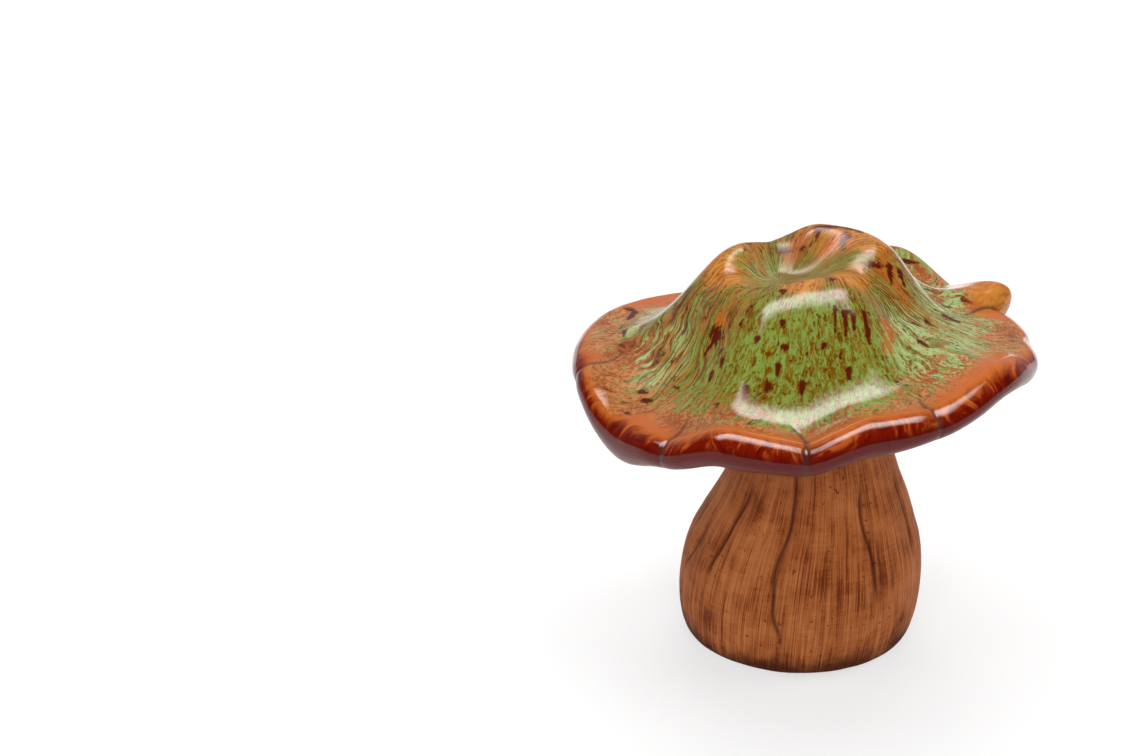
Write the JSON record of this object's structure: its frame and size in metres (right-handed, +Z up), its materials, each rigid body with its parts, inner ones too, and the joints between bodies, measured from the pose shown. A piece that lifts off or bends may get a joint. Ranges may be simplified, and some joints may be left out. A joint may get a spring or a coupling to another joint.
{
  "type": "ceramic mushroom ornament",
  "caption": "Hollow ceramic mushroom ornament: a ruffled drip-glazed cap with a dimpled crown rests on a stained pear-shaped stem, and turns or lifts off.",
  "frame": {"origin": "on the floor under the axis that the cap turns about", "axes": "+Z up along the axis that the cap turns about, -Y toward the side that the picture shows, +X to its right"},
  "size_m": [0.2208, 0.2181, 0.2055],
  "materials": {
    "cap_glaze": "glossy drip glaze, green over amber and red-brown",
    "stem_bisque": "matte brown stain brushed over carved bisque",
    "seat_felt": "pressed felt",
    "foot_felt": "pressed felt"
  },
  "bodies": {
    "stem": {"stem": "stem_bisque", "base_felt": "foot_felt"},
    "ring": {"seat_ring": "seat_felt"},
    "cap": {"cap": "cap_glaze"}
  },
  "joints": [
    {"name": "cap_turn", "type": "hinge", "parent": "stem", "child": "ring", "pos_m": [0, 0, 0.112], "axis": [0, 0, 1], "continuous": true},
    {"name": "cap_lift", "type": "slide", "parent": "ring", "child": "cap", "axis": [0, 0, 1], "range_m": [0, 0.06]}
  ]
}
